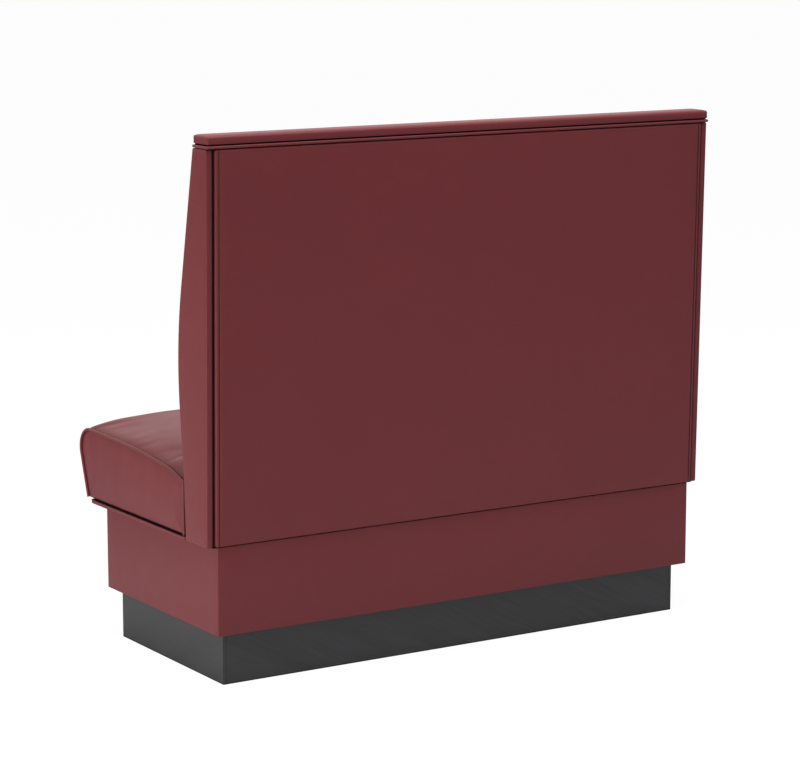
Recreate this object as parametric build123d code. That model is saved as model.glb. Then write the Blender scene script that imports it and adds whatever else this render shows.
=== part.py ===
"""Single restaurant booth: a laminated plinth, a vinyl-wrapped riser, a lift-out seat and a padded back.

Millimetres, +Z up. +X runs along the bench, +Y points to the rear, away from the diner.
Left means the +X end. Side outlines are drawn as (fore, height) pairs: fore is the distance
forward of the riser's rear face. The finished model is centred over the floor at its origin.
"""

import os
from math import exp

from build123d import *

# Whole bench
bench_length = 1168.0
fit_gap = 0.3
cut_over = 5.0
skin = 1.2

# Toe kick, the plinth that stands on the floor
kick_height = 103.0
kick_inset = 21.5
kick_face = 6.5
kick_rail = 18.0
kick_edge_round = 0.8
kick_cross_places = 380.0

# Floor brackets inside the plinth
bracket_leg = 38.0
bracket_width = 40.0
bracket_plate = 3.0
bracket_hole_radius = 3.5
bracket_hole_reach = 22.0
bracket_pitch = 230.0

# Riser, the wrapped box on the plinth
riser_end_inset = 22.7
riser_depth = 468.0
riser_height = 173.0
riser_board = 15.0
riser_corner_round = 2.0
bottom_rail_width = 58.0
bottom_rail = 12.0
ledger_width = 50.0
ledger = 18.0
glue_block = 34.0
glue_block_short = 12.0
divider_spread = 380.0

# Back, its outline and its lean
back_lift = 1.0
back_height = 755.0
back_lean = 14.6
back_foot_reach = 86.0
back_bulge_reach = 115.5
back_top_reach = 39.0
back_seat_reach = 91.0
back_seat_share = 0.163
back_bulge_share = 0.489
back_seat_bend_share = 0.66
back_bulge_bend_share = 1.06
wing_side = 3.0
wing_skin = 2.0
wing_rim = 12.7
wing_corner = 3.5
upright = 18.0
rib_spread = 380.0
back_pad = 26.0
back_board = 4.0
back_crown = 22.0
back_rail = 18.0
stretcher_height = 90.0
stretcher_share = 0.5

# Welt cord
welt_radius = 2.7
welt_sides = 6

# Outside back panel
panel_proud = 5.7
panel_skin = 1.5
panel_groove = 4.7
panel_seam = 1.0
panel_edge_round = 4.5

# Top cap
cap_inset = 1.6
cap_face = 13.0
cap_crown = 4.5
cap_shadow = 2.1
cap_board = 8.5
cap_edge_round = 1.6
cap_end_run = 60.0
cap_end_bend = 700.0
cap_welt_inset = 1.2
cap_welt_corner = 4.0

# Seat, its outline in shares of its depth and height
seat_depth = 465.8
seat_height = 145.0
seat_clearance = 2.2
seat_crown = 26.0
seat_nose_crown = 9.0
seat_crown_run = 260.0
seat_rear_top_share = 0.734
seat_shoulder_shares = (0.124, 0.855)
seat_middle_shares = (0.445, 0.962)
seat_foot_share = 0.9
seat_rear_crown_share = 0.3
seat_shoulder_crown_share = 0.88
seat_foot_round = 6.0
seat_rear_round = 10.0
seat_shoulder_bend_share = 0.6
seat_top_bend_share = 3.2
seat_nose_round = 44.0
seat_front_foot_round = 6.0

# Seat frame
base_board = 6.0
base_board_setback = 14.0
base_board_corner = 12.0
shadow_line = 4.0
seat_rail = 18.0
seat_rail_height = 58.0
seat_frame_inset = 13.0
seat_cross_drop = 14.0
seat_cross_spread = 400.0
corner_block = 45.0
vent_radius = 12.5
vent_pitch = 370.0
vents = 3
cleat_length = 150.0
cleat_width = 18.0
cleat_drop = 14.0
cleat_clearance = 8.0
cleat_spread = 740.0

# Webbing, woven over the seat frame
strap = 50.0
strap_thickness = 1.6
strap_layers = 3
cross_straps = 11
long_straps = 4

# Knock-down bolts between back and riser
bolt_radius = 4.0
bolt_clearance = 0.4
bolt_sides = 12
bolt_head_radius = 7.5
bolt_head = 5.0
hexagon_sides = 6
washer_radius = 12.0
washer_sides = 24
washer = 1.6
nut_radius = 11.0
nut = 6.0
bolt_tail = 4.0
bolt_pitch = 400.0
bolt_count = 3

# Stations of every crowned cushion, as shares of its half length measured from the end
station_shares = (0.0, 0.04, 0.14, 0.36, 1.0)
crown_steepness = 2.6
crown_lip_share = 0.26
crown_lip_run = 13.0

# Heights and lengths that follow from the sizes above
half = bench_length / 2
riser_half = half - riser_end_inset
riser_top = kick_height + riser_height
back_foot = riser_top + back_lift
back_top = back_foot + back_height
frame_in = wing_skin + fit_gap
upright_out = half - wing_side - fit_gap
upright_in = upright_out - upright
rib_front_in = skin + fit_gap + back_pad + fit_gap + back_board
seat_foot = riser_top + base_board + shadow_line
seat_rear = back_seat_reach + seat_clearance
seat_frame_rear = seat_rear + seat_foot_round + skin
seat_frame_front = seat_rear + seat_depth * seat_foot_share - seat_front_foot_round
seat_frame_half = half - seat_frame_inset
seat_frame_top = riser_top + base_board + seat_rail_height


def block(x_low, x_high, fore_near, fore_far, z_low, z_high):
    """A board between two lengths, two distances forward and two heights."""
    middle = ((x_low + x_high) / 2, -(fore_near + fore_far) / 2, (z_low + z_high) / 2)
    return Pos(*middle) * Box(x_high - x_low, abs(fore_far - fore_near), z_high - z_low)


def rod(x, fore, z_low, z_high, radius):
    """An upright round bar."""
    return Pos(x, -fore, (z_low + z_high) / 2) * Cylinder(radius, z_high - z_low)


def prism(x, fore, z_low, z_high, radius, sides):
    """An upright bar with flat sides, its corners on a circle."""
    return Pos(x, -fore, z_low) * extrude(RegularPolygon(radius, sides), z_high - z_low)


def side_wire(corners, radii, x, closed=True):
    """The outline through (fore, height) corners, rounded at each, in the plane across the bench at x."""
    points = [(x, -fore, height) for fore, height in corners]
    return FilletPolyline(*points, radius=radii, close=closed)


def side_face(corners, radii, x):
    """A flat face bounded by such an outline."""
    return Face(Wire(side_wire(corners, radii, x).edges()))


def side_plate(corners, radii, x_low, x_high):
    """A board cut to a side outline."""
    return extrude(side_face(corners, radii, x_low), x_high - x_low, dir=(1, 0, 0))


def both_ends(shape):
    """The left piece and its mirror image at the right end."""
    return shape, mirror(shape, about=Plane.YZ)


def merged(shapes):
    """Separate solids held together as one group."""
    return Compound([solid for shape in shapes for solid in shape.solids()])


def stations(length_half):
    """Places along the bench for the crowned sections, each with its share of the crown.

    A crown leaves its welted end steeply, over a short lip, and then grows slowly.
    """
    run_share = min(seat_crown_run / length_half, 1)
    places = []
    for share in station_shares:
        lip = 1 - exp(-share * length_half / crown_lip_run)
        slow = 1 - (1 - min(share / run_share, 1)) ** crown_steepness
        rise = lip * crown_lip_share + slow * (1 - crown_lip_share)
        places.append((length_half * (share - 1), rise))
    return places + [(-x, rise) for x, rise in reversed(places[:-1])]


# Toe kick


def kick_size(inset):
    """Half length and the two depths of the plinth, drawn in by an inset."""
    return riser_half - kick_inset - inset, kick_inset + inset, riser_depth - kick_inset - inset


def kick_faces():
    """Four laminated facing boards, the end boards covering the ends of the long ones."""
    kick_half, rear, front = kick_size(0)
    within = kick_half - kick_face
    end = block(within, kick_half, rear, front, 0, kick_height)
    upright_edges = end.edges().filter_by(Axis.Z).group_by(Axis.X)[-1]
    left, right = both_ends(fillet(upright_edges, kick_edge_round))
    return {
        "toe_kick_face_left": left,
        "toe_kick_face_right": right,
        "toe_kick_face_rear": block(-within, within, rear, rear + kick_face, 0, kick_height),
        "toe_kick_face_front": block(-within, within, front - kick_face, front, 0, kick_height),
    }


def bracket_spots():
    """Where the four floor brackets stand: the sign of the end, and the distance forward."""
    middle = riser_depth / 2
    return [(side, middle + step * bracket_pitch / 2) for side in (-1, 1) for step in (-1, 1)]


def kick_frame():
    """Softwood rails behind the facings, with cross rails that carry the floor brackets."""
    inner_half, rear, front = kick_size(kick_face)
    long_rear = block(-inner_half, inner_half, rear, rear + kick_rail, 0, kick_height)
    long_front = block(-inner_half, inner_half, front - kick_rail, front, 0, kick_height)
    near, far = rear + kick_rail, front - kick_rail
    cross_places = [kick_cross_places / 2, inner_half - kick_rail / 2]
    cross = []
    for place in cross_places:
        board = block(place - kick_rail / 2, place + kick_rail / 2, near, far, 0, kick_height)
        cross.extend(both_ends(board))
    return {
        "toe_kick_rail_rear": long_rear,
        "toe_kick_rail_front": long_front,
        "toe_kick_cross_rails": merged(cross),
    }


def floor_brackets():
    """Bent steel angles on the inner cross rails, which fasten the plinth to the floor."""
    brackets = []
    for side, fore in bracket_spots():
        face = side * (kick_cross_places + kick_rail) / 2
        ends = (fore - bracket_width / 2, fore + bracket_width / 2)
        tall = sorted((face, face + side * bracket_plate))
        wide = sorted((face, face + side * bracket_leg))
        angle = block(*tall, *ends, 0, bracket_leg) + block(*wide, *ends, 0, bracket_plate)
        hole_x = face + side * bracket_hole_reach
        angle -= rod(hole_x, fore, -cut_over, bracket_plate + cut_over, bracket_hole_radius)
        brackets.append(angle)
    return {"floor_brackets": merged(brackets)}


# Riser


def riser_boards():
    """The box: end boards over the full depth, front and rear boards between them."""
    low = kick_height + bottom_rail
    outer = riser_half - skin
    inner = outer - riser_board
    rear, front = skin, riser_depth - skin
    end = block(inner, outer, rear, front, low, riser_top)
    left, right = both_ends(end)
    return {
        "riser_board_left": left,
        "riser_board_right": right,
        "riser_board_rear": block(-inner, inner, rear, rear + riser_board, low, riser_top),
        "riser_board_front": block(-inner, inner, front - riser_board, front, low, riser_top),
    }


def riser_frame():
    """Bottom rails on the plinth, a rear ledger for the back's bolts, dividers and glue blocks."""
    outer = riser_half - skin
    inner = outer - riser_board
    rear, front = skin, riser_depth - skin
    low, high = kick_height, kick_height + bottom_rail
    rail_rear = block(-outer, outer, rear, rear + bottom_rail_width, low, high)
    rail_front = block(-outer, outer, front - bottom_rail_width, front, low, high)
    hold_rear = rear + riser_board
    hold_front = front - riser_board
    shelf = block(-inner, inner, hold_rear, hold_rear + ledger_width, riser_top - ledger, riser_top)
    for place in bolt_places():
        shelf -= rod(place, bolt_fore(), back_foot - ledger * 2, riser_top + cut_over, bolt_hole())
    dividers = []
    for side in (-1, 1):
        centre = side * divider_spread / 2
        board = block(
            centre - riser_board / 2, centre + riser_board / 2, hold_rear, hold_front, high, riser_top
        )
        board -= block(
            centre - riser_board,
            centre + riser_board,
            hold_rear - cut_over,
            hold_rear + ledger_width,
            riser_top - ledger,
            riser_top + cut_over,
        )
        dividers.append(board)
    blocks = []
    for fore, step in ((hold_rear, 1), (hold_front, -1)):
        corner = [
            (inner, -fore, high),
            (inner - glue_block, -fore, high),
            (inner, -fore - step * glue_block, high),
        ]
        wedge = extrude(
            Face(Polyline(*corner, close=True)),
            riser_top - ledger - glue_block_short - high,
            dir=(0, 0, 1),
        )
        blocks.extend(both_ends(wedge))
    return {
        "riser_bottom_rail_rear": rail_rear,
        "riser_bottom_rail_front": rail_front,
        "riser_ledger": shelf,
        "riser_dividers": merged(dividers),
        "riser_corner_blocks": merged(blocks),
    }


def riser_cover():
    """One band of vinyl pulled round the four boards, with softly rounded upright corners."""
    outside = block(-riser_half, riser_half, 0, riser_depth, kick_height, riser_top)
    outside = fillet(outside.edges().filter_by(Axis.Z), riser_corner_round)
    within = riser_half - skin
    hollow = block(
        -within, within, skin, riser_depth - skin, kick_height - cut_over, riser_top + cut_over
    )
    return {"riser_cover": outside - hollow}


# Back


def rear_line(height):
    """Fore distance of the back's leaning rear edge."""
    return -back_lean * (height - back_foot) / back_height


def front_corners():
    """The corners of the back's front edge, from the foot up."""
    return [
        (back_foot_reach, back_foot),
        (back_seat_reach, back_foot + back_height * back_seat_share),
        (back_bulge_reach, back_foot + back_height * back_bulge_share),
        (back_top_reach, back_top),
    ]


def front_line(height, first):
    """Fore distance on the straight between front corner number first and the next one."""
    (fore_a, z_a), (fore_b, z_b) = front_corners()[first : first + 2]
    return fore_a + (fore_b - fore_a) * (height - z_a) / (z_b - z_a)


def front_edge(drawn_in, low, high, crown=0):
    """Front corners between two heights, drawn in or crowned out, and the bends at the middle two."""
    seat, bulge = front_corners()[1:3]
    corners = [
        (front_line(low, 0) - drawn_in, low),
        (seat[0] - drawn_in, seat[1]),
        (bulge[0] - drawn_in + crown, bulge[1]),
        (front_line(high, 2) - drawn_in, high),
    ]
    bends = [back_height * back_seat_bend_share, back_height * back_bulge_bend_share]
    return corners, bends


def back_profile(drawn_in, corner, low, high, front_in=None):
    """The whole side outline of the back, with one radius at its four outer corners."""
    front, bends = front_edge(drawn_in if front_in is None else front_in, low, high)
    corners = [(rear_line(low) + drawn_in, low), *front, (rear_line(high) + drawn_in, high)]
    return corners, [corner, corner, *bends, corner, corner]


def band_profile(outer_in, inner_in, low, high, crown=0):
    """A band that follows the front edge between two depths."""
    front, bends = front_edge(outer_in, low, high, crown)
    rear, _ = front_edge(inner_in, low, high, crown if inner_in - outer_in < back_board else 0)
    return front + rear[::-1], [0, *bends, 0, 0, *bends[::-1], 0]


def back_uprights():
    """Shaped plywood ends of the back frame."""
    low, high = back_foot + frame_in, back_top - frame_in
    corners, radii = back_profile(frame_in, wing_corner - skin, low, high)
    left, right = both_ends(side_plate(corners, radii, upright_in, upright_out))
    return {"back_upright_left": left, "back_upright_right": right}


def wing_covers():
    """Padded vinyl over each end, pulled round its edges in a narrow rim."""
    outer, outer_radii = back_profile(0, wing_corner, back_foot, back_top)
    tray = side_plate(outer, outer_radii, half - wing_rim, half)
    low, high = back_foot + wing_skin, back_top - wing_skin
    inner, inner_radii = back_profile(wing_skin, wing_corner - skin, low, high)
    hollow = side_plate(inner, inner_radii, half - wing_rim - cut_over, half - wing_side)
    left, right = both_ends(tray - hollow)
    return {"wing_cover_left": left, "wing_cover_right": right}


def stretcher_place():
    """Rear and front of the stretcher across the middle of the back, and its two heights."""
    middle = back_foot + back_height * stretcher_share
    low, high = middle - stretcher_height / 2, middle + stretcher_height / 2
    rear = rear_line(low) + frame_in
    return rear, rear + back_rail, low, high


def back_rails():
    """Bottom rail on the riser, top rail under the cap, and a stretcher let into the ribs."""
    foot_front = front_line(riser_top, 0) - rib_front_in
    bottom = block(
        -upright_in, upright_in, frame_in, foot_front, riser_top, riser_top + back_rail
    )
    for place in bolt_places():
        bottom -= rod(
            place, bolt_fore(), riser_top - cut_over, riser_top + back_rail + cut_over, bolt_hole()
        )
    head_low, head_high = back_top + fit_gap - back_rail, back_top + fit_gap
    head_rear = rear_line(head_low) + frame_in
    head_front = front_line(head_high, 2) - rib_front_in
    top = block(-upright_in, upright_in, head_rear, head_front, head_low, head_high)
    middle = block(-upright_in, upright_in, *stretcher_place())
    return {"back_bottom_rail": bottom, "back_top_rail": top, "back_stretcher": middle}


def back_ribs():
    """Two inner uprights between the rails, notched at the rear for the stretcher."""
    low = riser_top + back_rail
    high = back_top + fit_gap - back_rail
    corners, radii = back_profile(frame_in, 0, low, high, rib_front_in)
    near = rib_spread / 2 - upright / 2
    rear, front, notch_low, notch_high = stretcher_place()
    rib = side_plate(corners, radii, near, near + upright)
    rib -= block(
        near - cut_over, near + upright + cut_over, rear - cut_over, front, notch_low, notch_high
    )
    return {"back_ribs": merged(both_ends(rib))}


def back_padding():
    """Curved board, crowned foam and the inside cover, all following the front edge."""
    low, high = riser_top + back_rail, back_top - frame_in
    width = upright_in - fit_gap
    board_front = skin + fit_gap + back_pad + fit_gap
    corners, radii = band_profile(board_front, board_front + back_board, low, high)
    board = side_plate(corners, radii, -width, width)
    pads = []
    covers = []
    cover_half = half - wing_rim - 2 * welt_radius - fit_gap
    for x, rise in stations(cover_half):
        crown = back_crown * rise
        pad_x = x * width / cover_half
        pad, pad_radii = band_profile(skin + fit_gap, skin + fit_gap + back_pad, low, high, crown)
        pads.append(side_face(pad, pad_radii, pad_x))
        skin_band, skin_radii = band_profile(0, skin, low, high, crown)
        covers.append(side_face(skin_band, skin_radii, x))
    return {
        "back_board": board,
        "back_foam": loft(pads, ruled=True),
        "back_cover": loft(covers, ruled=True),
    }


def back_welts():
    """Welt cords up the two front seams of the back, tucked in where the seat meets it."""
    seat_on = frame_in - welt_radius - fit_gap
    corners, bends = front_edge(seat_on, back_foot + frame_in, back_top - frame_in)
    x = half - wing_rim - welt_radius
    path = side_wire(corners, bends, x, closed=False)
    start = Plane(origin=path @ 0, z_dir=path % 0)
    cord = sweep(start * RegularPolygon(welt_radius, welt_sides), path=path)
    tuck = seat_foot + seat_height * seat_rear_top_share + 2 * welt_radius
    cord -= block(
        x - cut_over, x + cut_over, 0, back_bulge_reach + cut_over, back_foot - cut_over, tuck
    )
    left, right = both_ends(cord)
    return {"back_welt_left": left, "back_welt_right": right}


def outside_back():
    """Stiff board on the rear of the frame and the vinyl wrapped over its rounded edges."""
    low, high = riser_top + back_lift + panel_seam, back_top
    width = half - wing_rim - panel_groove
    on_frame = frame_in

    def slab(x_half, front_in, rear_out, bottom, top):
        corners = [
            (rear_line(bottom) + front_in, bottom),
            (rear_line(bottom) - rear_out, bottom),
            (rear_line(top) - rear_out, top),
            (rear_line(top) + front_in, top),
        ]
        return side_plate(corners, [0, 0, 0, 0], -x_half, x_half)

    def rounded(shape, radius):
        rear_face = shape.faces().sort_by(SortBy.AREA)[-2:].sort_by(Axis.Y)[-1]
        return fillet(rear_face.edges(), radius)

    wrap = rounded(slab(width, on_frame, panel_proud, low, high), panel_edge_round)
    inside = (width - panel_skin, panel_proud - panel_skin, low + panel_skin, high - panel_skin)
    x_half, rear_out, bottom, top = inside
    inner_round = panel_edge_round - panel_skin
    board = rounded(slab(x_half, on_frame, rear_out, bottom, top), inner_round)
    hollow = rounded(slab(x_half, on_frame + cut_over, rear_out, bottom, top), inner_round)
    return {"outside_back_board": board, "outside_back_cover": wrap - hollow}


# Cap


def cap_outline(inset):
    """Half length, rear and front of the cap's footprint, drawn in by an inset."""
    rear = rear_line(back_top) - panel_proud + inset
    return half - inset, rear, back_top_reach - inset


def cap_solid(inset, low, face_top, crown):
    """A long block with a gently arched top that dies away at both ends."""
    length, rear, front = cap_outline(inset)
    middle = (rear + front) / 2
    across = [
        Line((0, -rear, low), (0, -rear, face_top)),
        ThreePointArc((0, -rear, face_top), (0, -middle, face_top + crown), (0, -front, face_top)),
        Line((0, -front, face_top), (0, -front, low)),
        Line((0, -front, low), (0, -rear, low)),
    ]
    arched = Pos(-length, 0, 0) * extrude(Face(Wire(across)), 2 * length, dir=(1, 0, 0))
    along = FilletPolyline(
        (-length, 0, low),
        (-length, 0, face_top),
        (-length + cap_end_run, 0, face_top + crown),
        (length - cap_end_run, 0, face_top + crown),
        (length, 0, face_top),
        (length, 0, low),
        radius=[0, cap_edge_round, cap_end_bend, cap_end_bend, cap_edge_round, 0],
        close=True,
    )
    depth = front - rear + 2 * cut_over
    drawn = Pos(0, -rear + cut_over, 0) * extrude(Face(Wire(along.edges())), depth, dir=(0, -1, 0))
    return arched & drawn


def cap():
    """Spacer, board, thin pad and wrapped cover of the cap, with its welt in the shadow line."""
    cord_low = back_top + skin + welt_radius * 2
    cap_low = cord_low + cap_shadow + fit_gap
    spacer_inset = cap_welt_inset + welt_radius + fit_gap
    length, rear, front = cap_outline(spacer_inset)
    spacer = block(-length, length, rear, front, back_top + fit_gap, cap_low)
    spacer = fillet(spacer.edges().filter_by(Axis.Z), cap_welt_corner - welt_radius - fit_gap)
    outer = cap_solid(cap_inset, cap_low, cap_low + cap_face, cap_crown)
    within = cap_inset + skin
    inner = cap_solid(within, cap_low, cap_low + cap_face - skin, cap_crown)
    pad_whole = cap_solid(within + fit_gap, cap_low, cap_low + cap_face - skin - fit_gap, cap_crown)
    board_half, board_rear, board_front = cap_outline(within + fit_gap)
    board_top = cap_low + cap_board
    board = block(-board_half, board_half, board_rear, board_front, cap_low, board_top)
    above = block(
        -board_half - cut_over,
        board_half + cut_over,
        board_rear - cut_over,
        board_front + cut_over,
        board_top,
        board_top + cap_face + cap_crown,
    )
    return {
        "cap_spacer": spacer,
        "cap_board": board,
        "cap_pad": pad_whole & above,
        "cap_cover": outer - inner,
        "cap_welt": cap_welt(),
    }


def cap_welt():
    """A closed loop of welt cord between the cap and the top of the back."""
    length, rear, front = cap_outline(cap_welt_inset)
    height = back_top + skin + welt_radius
    path = FilletPolyline(
        (length, -rear, height),
        (length, -front, height),
        (-length, -front, height),
        (-length, -rear, height),
        radius=cap_welt_corner,
        close=True,
    )
    start = Plane(origin=path @ 0, z_dir=path % 0)
    return sweep(start * RegularPolygon(welt_radius, welt_sides), path=path)


# Seat


def seat_corners(rise, drawn_in, ease=0):
    """Corners and radii of the cushion's outline at one station along the bench."""
    top = seat_foot + seat_height - drawn_in
    rear = seat_rear + drawn_in
    front = seat_rear + seat_depth - drawn_in
    lift = seat_crown * rise
    push = seat_nose_crown * rise

    def height(share):
        return seat_foot + seat_height * share - drawn_in

    corners = [
        (rear, seat_foot + drawn_in),
        (rear, height(seat_rear_top_share) + lift * seat_rear_crown_share),
        (
            seat_rear + seat_depth * seat_shoulder_shares[0],
            height(seat_shoulder_shares[1]) + lift * seat_shoulder_crown_share,
        ),
        (seat_rear + seat_depth * seat_middle_shares[0], height(seat_middle_shares[1]) + lift),
        (front + push, top + lift),
        (seat_rear + seat_depth * seat_foot_share - drawn_in, seat_foot + drawn_in),
    ]
    radii = [
        seat_foot_round - ease,
        seat_rear_round - ease,
        seat_depth * seat_shoulder_bend_share,
        seat_depth * seat_top_bend_share,
        seat_nose_round - ease,
        seat_front_foot_round - ease,
    ]
    return corners, radii


def seat_skin(rise):
    """The cover's section: over the cushion from the rear rail round to the front rail."""
    outer, outer_radii = seat_corners(rise, 0)
    inner, inner_radii = seat_corners(rise, skin, skin)
    rear_tuck, front_tuck = seat_frame_rear - fit_gap, seat_frame_front + fit_gap
    corners = [(rear_tuck, seat_foot), *outer, (front_tuck, seat_foot)]
    corners += [(front_tuck, seat_foot + skin), *inner[::-1], (rear_tuck, seat_foot + skin)]
    return corners, [0, *outer_radii, 0, 0, *inner_radii[::-1], 0]


def seat_form(length_half, drawn_in, ease):
    """A crowned cushion lofted through outlines whose crown dies away at the ends."""
    sections = []
    for x, rise in stations(length_half):
        sections.append(side_face(*seat_corners(rise, drawn_in, ease), x))
    return loft(sections, ruled=True)


def seat_upholstery():
    """Foam, the one-piece cover, the end boxings and the welts that close their seams."""
    welt_in = 2 * welt_radius + fit_gap
    cover_half = half - welt_in
    frame_cut = block(
        -seat_frame_half - fit_gap,
        seat_frame_half + fit_gap,
        seat_frame_rear - fit_gap,
        seat_frame_front + fit_gap,
        seat_foot - cut_over,
        seat_frame_top + webbing_height() + fit_gap,
    )
    foam = seat_form(cover_half - skin, skin + fit_gap, skin + fit_gap) - frame_cut
    sections = [side_face(*seat_skin(rise), x) for x, rise in stations(cover_half)]
    cover = loft(sections, ruled=True)
    flat_corners, flat_radii = seat_corners(0, welt_in, welt_in)
    low_rear, low_front = flat_corners[0], flat_corners[-1]
    flat_corners[0] = (low_rear[0], seat_foot)
    flat_corners[-1] = (low_front[0], seat_foot)
    flat_radii[0] = flat_radii[-1] = skin
    boxing = side_plate(flat_corners, flat_radii, cover_half, cover_half + 2 * skin)
    cord_corners, cord_radii = seat_corners(0, welt_radius, welt_radius)
    cord_corners[0] = (cord_corners[0][0], seat_foot)
    cord_corners[-1] = (cord_corners[-1][0], seat_foot)
    path = side_wire(cord_corners, cord_radii[1:-1], half - welt_radius, closed=False)
    start = Plane(origin=path @ 0, z_dir=path % 0)
    cord = sweep(start * RegularPolygon(welt_radius, welt_sides), path=path)
    boxing_left, boxing_right = both_ends(boxing)
    cord_left, cord_right = both_ends(cord)
    return {
        "seat_foam": foam,
        "seat_cover": cover,
        "seat_boxing_left": boxing_left,
        "seat_boxing_right": boxing_right,
        "seat_welt_left": cord_left,
        "seat_welt_right": cord_right,
    }


def seat_base():
    """Wrapped base board with air vents, and the cleats that drop inside the riser."""
    low, high = riser_top, riser_top + base_board
    front = seat_rear + seat_depth * seat_foot_share - base_board_setback
    board = block(-half, half, seat_rear, front, low, high)
    board = fillet(board.edges().filter_by(Axis.Z), base_board_corner)
    middle = (seat_frame_rear + seat_frame_front) / 2
    for number in range(vents):
        x = (number - (vents - 1) / 2) * vent_pitch
        board -= rod(x, middle, low - cut_over, high + cut_over, vent_radius)
    front_cleat = riser_depth - skin - riser_board - cleat_clearance
    rear_cleat = seat_frame_rear + seat_rail
    cleats = []
    for side in (-1, 1):
        centre = side * cleat_spread / 2
        ends = (centre - cleat_length / 2, centre + cleat_length / 2)
        for near in (rear_cleat, front_cleat - cleat_width):
            cleats.append(block(*ends, near, near + cleat_width, low - cleat_drop, low))
    return {"seat_base_board": board, "seat_cleats": merged(cleats)}


def seat_frame():
    """Box frame of the seat: four rails, two lower cross rails and corner blocks."""
    low, high = riser_top + base_board, seat_frame_top
    rear, front = seat_frame_rear, seat_frame_front
    rail_rear = block(-seat_frame_half, seat_frame_half, rear, rear + seat_rail, low, high)
    rail_front = block(-seat_frame_half, seat_frame_half, front - seat_rail, front, low, high)
    near, far = rear + seat_rail, front - seat_rail
    inner = seat_frame_half - seat_rail
    left, right = both_ends(block(inner, seat_frame_half, near, far, low, high))
    cross = []
    for side in (-1, 1):
        centre = side * seat_cross_spread / 2
        ends = (centre - seat_rail / 2, centre + seat_rail / 2)
        cross.append(block(*ends, near, far, low, high - seat_cross_drop))
    blocks = []
    for fore, step in ((near, 1), (far, -1)):
        corner = [
            (inner, -fore, low),
            (inner - corner_block, -fore, low),
            (inner, -fore - step * corner_block, low),
        ]
        tall = seat_rail_height - seat_cross_drop
        wedge = extrude(Face(Polyline(*corner, close=True)), tall, dir=(0, 0, 1))
        blocks.extend(both_ends(wedge))
    return {
        "seat_rail_rear": rail_rear,
        "seat_rail_front": rail_front,
        "seat_rail_left": left,
        "seat_rail_right": right,
        "seat_cross_rails": merged(cross),
        "seat_corner_blocks": merged(blocks),
    }


def webbing_height():
    """Height that the woven straps take above the rails."""
    return strap_layers * (strap_thickness + fit_gap)


def webbing():
    """Straps laid over and under one another: long ones lie straight, cross ones weave."""
    base = seat_frame_top
    lie = base + strap_thickness + fit_gap
    inner_near, inner_far = seat_frame_rear + seat_rail, seat_frame_front - seat_rail
    long_pitch = (inner_far - inner_near) / long_straps
    long_places = [inner_near + (number + 1 / 2) * long_pitch for number in range(long_straps)]
    long_ones = []
    for fore in long_places:
        near, far = fore - strap / 2, fore + strap / 2
        long_ones.append(
            block(-seat_frame_half, seat_frame_half, near, far, lie, lie + strap_thickness)
        )
    cross_pitch = 2 * (seat_frame_half - seat_rail) / cross_straps
    cross_ones = []
    for number in range(cross_straps):
        x = (number - (cross_straps - 1) / 2) * cross_pitch
        cross_ones.append(woven_strap(x, number, long_places, long_pitch, base))
    return {"seat_webbing_long": merged(long_ones), "seat_webbing_cross": merged(cross_ones)}


def woven_strap(x, number, long_places, long_pitch, base):
    """A strap from front to rear that passes over every other long strap and under the rest."""
    over = base + 2 * (strap_thickness + fit_gap)
    half_run = strap / 2 + fit_gap * 2
    line = [(seat_frame_rear, base)]
    for index, fore in enumerate(long_places):
        level = over if (index + number) % 2 == 0 else base
        line.append((fore - half_run, level))
        line.append((fore + half_run, level))
    line.append((seat_frame_front, base))
    upper = [(fore, height + strap_thickness) for fore, height in reversed(line)]
    corners = line + upper
    return side_plate(corners, [0] * len(corners), x - strap / 2, x + strap / 2)


# Knock-down bolts


def bolt_hole():
    """Radius of the holes that the bolts pass through."""
    return bolt_radius + bolt_clearance


def bolt_places():
    """Places of the bolts along the bench, evenly about its middle."""
    return [(number - (bolt_count - 1) / 2) * bolt_pitch for number in range(bolt_count)]


def bolt_fore():
    """Fore distance of the row of bolts, on the middle of the ledger."""
    return skin + riser_board + ledger_width / 2


def bolts():
    """Hexagon bolts down through the back's bottom rail and the ledger, with washers and nuts."""
    under = riser_top - ledger
    top = riser_top + back_rail
    bodies, washers, nuts = [], [], []
    fore = bolt_fore()
    for place in bolt_places():
        foot = under - washer - nut
        shank = prism(place, fore, foot - bolt_tail, top, bolt_radius, bolt_sides)
        head = prism(place, fore, top, top + bolt_head, bolt_head_radius, hexagon_sides)
        bodies.append(shank + head)
        disc = prism(place, fore, under - washer, under, washer_radius, washer_sides)
        washers.append(disc - prism(place, fore, foot, top, bolt_hole(), bolt_sides))
        hexagon = prism(place, fore, foot, under - washer, nut_radius, hexagon_sides)
        nuts.append(hexagon - shank)
    return {
        "back_bolts": merged(bodies),
        "back_bolt_washers": merged(washers),
        "back_bolt_nuts": merged(nuts),
    }


def build():
    """Every piece of the booth by name."""
    pieces = {}
    for group in (
        kick_faces(),
        kick_frame(),
        floor_brackets(),
        riser_boards(),
        riser_frame(),
        riser_cover(),
        back_uprights(),
        wing_covers(),
        back_rails(),
        back_ribs(),
        back_padding(),
        back_welts(),
        outside_back(),
        cap(),
        seat_base(),
        seat_frame(),
        webbing(),
        seat_upholstery(),
        bolts(),
    ):
        pieces.update(group)
    return pieces


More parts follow.
